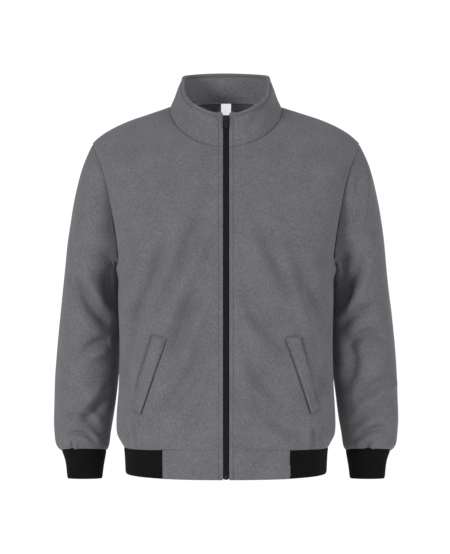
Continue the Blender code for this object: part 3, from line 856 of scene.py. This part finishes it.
woven, tree, shader = surface("woven_tape", {"Roughness": 0.75, "Specular IOR Level": 0.25})
weft = tree.nodes.new("ShaderNodeTexWave")
weft.bands_direction = "Z"
weft.inputs["Scale"].default_value = 300
weft.inputs["Distortion"].default_value = 0.6
place = tree.nodes.new("ShaderNodeTexCoord")
tree.links.new(place.outputs["Object"], weft.inputs["Vector"])
shade_between(tree, weft.outputs["Fac"], shader, (0.004, 0.004, 0.0045),
              (0.0055, 0.0055, 0.006))
emboss(tree, weft.outputs["Fac"], shader, 0.4, 0.3 * MM)

TAPE_WALL = 1.0 * MM
INNER_EDGE, HALF_GAP = 4.2 * MM, 0.05 * MM
for side in ("left", "right"):
    node = "zip_tape_" + side
    tape = cloth_face(node, node + "_cloth", TAPE_WALL)
    refine(tape, 1)
    points, _ = points_of(tape)
    inner = np.abs(points[:, 0]) < INNER_EDGE
    points[inner, 0] = np.sign(points[inner, 0]) * HALF_GAP
    move_to(tape, points)
    thicken(tape, TAPE_WALL)
    tape.data.materials.append(woven)
    sew(tape, node)

# ------------------------------------------------------------------ zip teeth, slider and pull
# Black nylon teeth on both tapes, closed down their whole length, with a moulded slider at
# the top and its pull tab hanging from a hinge, and a retainer box at the foot.

coil, tree, shader = surface("nylon_coil", {"Roughness": 0.42, "Specular IOR Level": 0.4})
shade_between(tree, noise_of(tree, 700, 3), shader, (0.0045, 0.0045, 0.005),
              (0.010, 0.010, 0.011), 0.3, 0.7)
lacquer = coil.copy()
lacquer.name = "black_lacquer"
shader = lacquer.node_tree.nodes["Principled BSDF"]
shader.inputs["Roughness"].default_value = 0.5
shader.inputs["Specular IOR Level"].default_value = 0.3

TOOTH = (4.0 * MM, 1.5 * MM, 0.95 * MM)
TOOTH_BEVEL = 0.3 * MM
TOOTH_OFFSET = 1.55 * MM
TOOTH_PITCH = 1.5 * MM
FOOT_SPACE, END_SPACE = 1 * MM, 8 * MM
CHAIN_HALF = 3.5 * MM

front_of = {}
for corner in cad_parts["zip_chain"].data.vertices:
    if abs(corner.co.x) < CHAIN_HALF:
        key = round(corner.co.z / MM)
        front_of[key] = min(front_of.get(key, 1), corner.co.y)
levels = np.array(sorted(front_of))
depths = np.array([front_of[key] for key in levels])

bpy.ops.object.select_all(action="DESELECT")
bpy.ops.mesh.primitive_cube_add(size=1, location=(0, 0, 0))
tooth = bpy.context.object
tooth.scale = TOOTH
bpy.ops.object.transform_apply(scale=True)
edit(tooth, ALL, ("bevel", {"offset": TOOTH_BEVEL, "segments": 1, "affect": "EDGES"}))
shape = np.array([corner.co for corner in tooth.data.vertices])
sides = [list(face.vertices) for face in tooth.data.polygons]
bpy.data.objects.remove(tooth, do_unlink=True)

low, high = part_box("zip_chain")
corners, faces = [], []
for index in range(int((high[2] - low[2] - END_SPACE) / TOOTH_PITCH)):
    level = low[2] + FOOT_SPACE + index * TOOTH_PITCH
    for hand in (1, -1):
        height = level + (TOOTH_PITCH / 2 if hand > 0 else 0)
        front = np.interp(height / MM, levels, depths)
        start = len(corners)
        corners.extend(shape + np.array([hand * TOOTH_OFFSET, front + TOOTH[1] / 2, height]))
        faces.extend([[start + k for k in side] for side in sides])
teeth = mesh_piece("zip_teeth", corners, faces)
teeth.data.materials.append(coil)
teeth.data.shade_smooth()
teeth.data.set_sharp_from_angle(angle=math.radians(35))
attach(teeth, "jacket")
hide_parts("zip_chain")

for node in ("zip_slider", "zip_pull", "zip_box"):
    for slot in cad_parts[node].material_slots:
        slot.material = lacquer

# ------------------------------------------------------------------ neck label
# A small label woven in white satin, folded double at its bottom edge and sewn into the back
# neck seam.  It is left blank, and curls a little as it hangs.  Its colour also glows, a
# painted light that keeps it bright in the shade inside the neck.

# Painted light: the satin's colour is also its emission, so the label glows though it is no lamp.
satin, tree, shader = surface("white_satin_painted_glow", {"Roughness": 0.5, "Emission Strength": 0.62})
weave_and_painted_glow = shade_between(tree, noise_of(tree, 1500, 2, stretch=(1, 1, 0.2)), shader,
                      (0.86, 0.86, 0.88), (0.98, 0.98, 0.99))
tree.links.new(weave_and_painted_glow, shader.inputs["Emission Color"])

LABEL_DROP, LABEL_WALL = 28 * MM, 0.5 * MM
CURL, RIPPLE, RIPPLES = 1.2 * MM, 0.3 * MM, 0.22
FACES_FRONT = -0.6
label = add_piece("neck_label_satin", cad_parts["neck_label"].data.copy())
label.data.materials.clear()
edit(label, ALL, MERGE, NONE)
for face in label.data.polygons:
    face.select = face.normal.y > FACES_FRONT
edit(label, ("delete", {"type": "FACE"}), ALL, QUADS)
refine(label, 3)
points, _ = points_of(label)
hang = np.clip((points[:, 2].max() - points[:, 2]) / LABEL_DROP, 0, 1)
points[:, 1] -= CURL * hang**2 + RIPPLE * np.sin(points[:, 0] / MM * RIPPLES) * hang
move_to(label, points)
thicken(label, LABEL_WALL)
label.data.materials.append(satin)
sew(label, "neck_label")

# ------------------------------------------------------------------ topstitching
# Grey thread in stitches about 2.7 mm long: beside the zip from the hem to the top of the
# collar, round the collar's top, and round each welt.  The thread is coloured far darker than
# the fleece: its own grey darkened by painted shade of the stitch lines.

# Painted shade: the thread is darkened to stand in for the shade along the stitched grooves.
thread_with_painted_shade, tree, shader = surface("thread_with_painted_shade", {"Roughness": 0.7})
shade_between(tree, noise_of(tree, 1800, 2), shader, (0.026, 0.026, 0.029),
              (0.052, 0.051, 0.056))

STITCH, STITCH_GAP, THREAD = 2.7 * MM, 0.5 * MM, 0.85 * MM
THREAD_SIDES = 6
STITCH_RINGS = ((0.35, -0.25), (1, 0.1), (0.35, -0.25))  # girths and lifts, in threads


def stitches(name, paths):
    """Stitches along paths: each path is (points, outward directions)."""
    corners, faces = [], []
    for points, outs in paths:
        run = length_along(points)
        for start in np.arange(STITCH_GAP, run[-1] - STITCH, STITCH + STITCH_GAP):
            middle = start + STITCH / 2
            ends = [at_places(t, run, points) for t in (start, middle, start + STITCH)]
            out = at_places(middle, run, outs)
            out /= np.linalg.norm(out)
            along = ends[2] - ends[0]
            along /= np.linalg.norm(along)
            across = np.cross(along, out)
            first = len(corners)
            for place, (girth, lift) in zip(ends, STITCH_RINGS):
                for turn in range(THREAD_SIDES):
                    angle = turn * math.tau / THREAD_SIDES
                    spoke = across * math.cos(angle) + out * math.sin(angle)
                    corners.append(place + out * lift * THREAD + spoke * girth * THREAD / 2)
            for ring in (first, first + THREAD_SIDES):
                for turn in range(THREAD_SIDES):
                    a, b = ring + turn, ring + (turn + 1) % THREAD_SIDES
                    faces.append((a, b, b + THREAD_SIDES, a + THREAD_SIDES))
            faces.append([first + k for k in range(THREAD_SIDES)][::-1])
            faces.append([first + 2 * THREAD_SIDES + k for k in range(THREAD_SIDES)])
    thread_piece = mesh_piece(name, corners, faces)
    edit(thread_piece, ALL, ("normals_make_consistent", {"inside": False}))
    thread_piece.data.materials.append(thread_with_painted_shade)
    thread_piece.data.shade_smooth()
    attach(thread_piece, "jacket")


def outer_face(name):
    """A piece's surface, for finding places on it."""
    return BVHTree.FromObject(bpy.data.objects[name], bpy.context.evaluated_depsgraph_get())


BEFORE_JACKET, RAY_LENGTH = -0.4, 0.6


def onto(names, flat):
    """Where the named pieces' fronts are at places given across and up, and how they face."""
    faces = [outer_face(name) for name in names]
    points, outs = [], []
    for across, up in flat:
        start = Vector((across, BEFORE_JACKET, up))
        best = None
        for face in faces:
            place, normal, _, far = face.ray_cast(start, Vector((0, 1, 0)), RAY_LENGTH)
            if place is not None and (best is None or far < best[0]):
                best = (far, place, normal)
        if best:
            points.append(np.array(best[1]))
            outs.append(np.array(best[2]))
    return np.array(points), np.array(outs)


HEM_FOOT, COLLAR_FRONT_TOP, LINE_STEP = -0.682, -0.0255, 0.002
WELT_INSET, WELT_STEPS = (0.10, 0.022), 40  # the inset is in shares, across and up
LIP_STITCH = LIP - 0.9 * MM
bpy.context.view_layer.update()
zip_lines, welt_lines = [], []
for hand, side in ((1, "left"), (-1, "right")):
    names = [f"front_{side}_cloth", f"hem_front_{side}_cloth", "collar_cloth"]
    levels = np.arange(HEM_FOOT, COLLAR_FRONT_TOP, LINE_STEP)
    zip_lines.append(onto(names, [(hand * ZIP_STITCH * MM, level) for level in levels]))
    corners = np.array(WELT_OUTLINE, float)
    corners += (corners.mean(0) - corners) * WELT_INSET
    ring = []
    for start, end in zip(corners, np.roll(corners, -1, 0)):
        shares = np.linspace(0, 1, WELT_STEPS, endpoint=False)
        ring.extend(start + (end - start) * share for share in shares)
    ring.append(corners[0])
    welt_lines.append(onto([f"pocket_welt_{side}_cloth"],
                           [(hand * across * MM, up * MM) for across, up in ring]))
stitches("zip_topstitch", zip_lines)
stitches("welt_topstitch", welt_lines)

rim, ups, outs = collar_rim
collar = outer_face("collar_cloth")
collar_lines = []
for drop, inwards in ((COLLAR_STITCH * MM, 0), (LIP_STITCH, 2 * ROLL)):
    starts = rim - ups * drop - outs * inwards
    starts = starts[(np.abs(rim[:, 0]) > ZIP_STITCH * MM) | (rim[:, 1] > 0)]
    met = [collar.find_nearest(Vector(start)) for start in starts]
    collar_lines.append((np.array([found[0] for found in met]),
                         np.array([found[1] for found in met])))
stitches("collar_topstitch", collar_lines)
